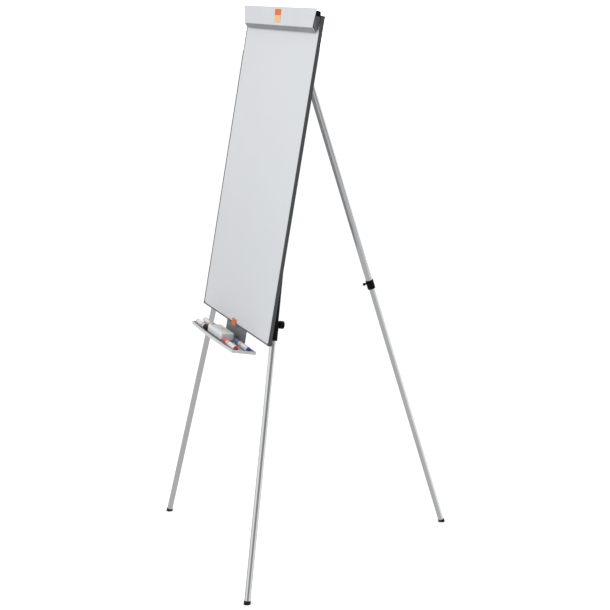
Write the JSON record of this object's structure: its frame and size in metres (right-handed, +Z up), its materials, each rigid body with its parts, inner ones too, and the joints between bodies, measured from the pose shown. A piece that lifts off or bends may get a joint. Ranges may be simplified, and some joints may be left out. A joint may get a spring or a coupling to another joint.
{
  "type": "flipchart easel",
  "caption": "Tripod flipchart easel with a leaning dry-wipe board, flip-up paper clamp, pen tray and telescopic round-tube legs.",
  "frame": {"origin": "on the floor, under the middle of the bounding box", "axes": "+X to the right of a person facing the board, +Y from the board towards the rear leg, +Z up"},
  "size_m": [0.938, 0.8856, 1.7817],
  "materials": {
    "white_enamel": "smooth dry-wipe enamel, satin gloss",
    "fibreboard": "raw fibreboard core",
    "backing": "grey lacquered backing",
    "dark_trim": "dark grey satin plastic",
    "light_plastic": "light grey moulded plastic",
    "white_paint": "white powder coat",
    "black_plastic": "black moulded plastic",
    "black_paint": "black powder coat",
    "bracket_grey": "grey powder coat",
    "aluminium": "drawn, satin anodised",
    "zinc": "zinc plated",
    "rubber": "moulded black rubber",
    "orange_plastic": "plain orange, no mark",
    "marker_white": "white moulded plastic",
    "marker_black": "black moulded plastic",
    "marker_red": "red moulded plastic",
    "marker_blue": "blue moulded plastic",
    "marker_green": "green moulded plastic",
    "felt": "grey wiping felt"
  },
  "bodies": {
    "board": {"writing_surface": "white_enamel", "board_core": "fibreboard", "backing_sheet": "backing", "trim_left": "dark_trim", "trim_right": "dark_trim", "trim_bottom": "dark_trim", "trim_top": "dark_trim", "rail_end_cap_left": "dark_trim", "rail_end_cap_right": "dark_trim", "corner_cap_bottom_left": "light_plastic", "corner_cap_bottom_right": "light_plastic", "corner_cap_top_left": "light_plastic", "corner_cap_top_right": "light_plastic", "pen_tray": "light_plastic", "clamp_rail": "black_paint", "leg_cross_bracket": "black_paint", "rear_hinge_bracket": "black_paint", "tray_bracket": "bracket_grey", "hinge_block_left": "black_plastic", "hinge_block_right": "black_plastic", "clamp_hinge_rod": "zinc", "leg_pivot_bolt_left": "zinc", "leg_pivot_bolt_right": "zinc", "rear_hinge_pin": "zinc", "board_badge": "orange_plastic"},
    "clamp_cover": {"clamp_cover": "white_paint", "grip_strip": "dark_trim", "cover_lug_left": "black_plastic", "cover_lug_right": "black_plastic", "cover_label": "orange_plastic"},
    "pad_hook_left": {"pad_hook_left": "black_plastic"},
    "pad_hook_right": {"pad_hook_right": "black_plastic"},
    "leg_left": {"outer_tube_left": "black_paint", "top_plug_left": "black_plastic", "clamp_collar_left": "black_plastic"},
    "knob_left": {"clamp_knob_left": "black_plastic"},
    "lower_leg_left": {"inner_tube_left": "aluminium", "foot_left": "rubber"},
    "leg_right": {"outer_tube_right": "black_paint", "top_plug_right": "black_plastic", "clamp_collar_right": "black_plastic"},
    "knob_right": {"clamp_knob_right": "black_plastic"},
    "lower_leg_right": {"inner_tube_right": "aluminium", "foot_right": "rubber"},
    "leg_rear": {"outer_tube_rear": "aluminium", "top_plug_rear": "black_plastic", "clamp_collar_rear": "black_plastic"},
    "knob_rear": {"clamp_knob_rear": "black_plastic"},
    "lower_leg_rear": {"inner_tube_rear": "aluminium", "foot_rear": "rubber"},
    "marker_black": {"marker_black_barrel": "marker_white", "marker_black_cap": "marker_black"},
    "marker_green": {"marker_green_barrel": "marker_white", "marker_green_cap": "marker_green"},
    "marker_red": {"marker_red_barrel": "marker_white", "marker_red_cap": "marker_red"},
    "marker_blue": {"marker_blue_barrel": "marker_white", "marker_blue_cap": "marker_blue"},
    "eraser": {"eraser_body": "marker_white", "eraser_felt": "felt"}
  },
  "joints": [
    {"name": "clamp_cover_flip", "type": "hinge", "parent": "board", "child": "clamp_cover", "pos_m": [0, -0.1441, 1.76701], "axis": [-1, 0, 0], "range_deg": [0, 105]},
    {"name": "pad_hook_left_slide", "type": "slide", "parent": "board", "child": "pad_hook_left", "axis": [1, 0, 0], "range_m": [-0.12, 0.08]},
    {"name": "pad_hook_right_slide", "type": "slide", "parent": "board", "child": "pad_hook_right", "axis": [1, 0, 0], "range_m": [-0.08, 0.12]},
    {"name": "leg_left_swing", "type": "hinge", "parent": "board", "child": "leg_left", "pos_m": [-0.135, -0.11926, 1.70451], "axis": [0, -0.9836, 0.1803], "range_deg": [0, 10.4]},
    {"name": "leg_right_swing", "type": "hinge", "parent": "board", "child": "leg_right", "pos_m": [0.135, -0.11926, 1.70451], "axis": [0, 0.9836, -0.1803], "range_deg": [0, 10.4]},
    {"name": "leg_rear_fold", "type": "hinge", "parent": "board", "child": "leg_rear", "pos_m": [0, -0.09961, 1.70192], "axis": [-1, 0, 0], "range_deg": [0, 27.5]},
    {"name": "leg_left_telescope", "type": "slide", "parent": "leg_left", "child": "lower_leg_left", "axis": [0.1833, 0.1773, 0.9669], "range_m": [0, 0.75]},
    {"name": "knob_left_turn", "type": "hinge", "parent": "leg_left", "child": "knob_left", "pos_m": [-0.30067, -0.26468, 0.82767], "axis": [0, 0.9836, -0.1803], "range_deg": [0, 360]},
    {"name": "leg_right_telescope", "type": "slide", "parent": "leg_right", "child": "lower_leg_right", "axis": [-0.1833, 0.1773, 0.9669], "range_m": [0, 0.75]},
    {"name": "knob_right_turn", "type": "hinge", "parent": "leg_right", "child": "knob_right", "pos_m": [0.30067, -0.26468, 0.82767], "axis": [0, 0.9836, -0.1803], "range_deg": [0, 360]},
    {"name": "leg_rear_telescope", "type": "slide", "parent": "leg_rear", "child": "lower_leg_rear", "axis": [0, -0.2979, 0.9546], "range_m": [0, 0.73]},
    {"name": "knob_rear_turn", "type": "hinge", "parent": "leg_rear", "child": "knob_rear", "pos_m": [0, 0.14374, 0.87172], "axis": [0, -0.9546, -0.2979], "range_deg": [0, 360]},
    {"name": "marker_black_lift", "type": "slide", "parent": "board", "child": "marker_black", "axis": [0, 0.1803, 0.9836], "range_m": [0, 0.15]},
    {"name": "marker_green_lift", "type": "slide", "parent": "board", "child": "marker_green", "axis": [0, 0.1803, 0.9836], "range_m": [0, 0.15]},
    {"name": "marker_red_lift", "type": "slide", "parent": "board", "child": "marker_red", "axis": [0, 0.1803, 0.9836], "range_m": [0, 0.15]},
    {"name": "marker_blue_lift", "type": "slide", "parent": "board", "child": "marker_blue", "axis": [0, 0.1803, 0.9836], "range_m": [0, 0.15]},
    {"name": "eraser_lift", "type": "slide", "parent": "board", "child": "eraser", "axis": [0, 0.1803, 0.9836], "range_m": [0, 0.15]}
  ]
}
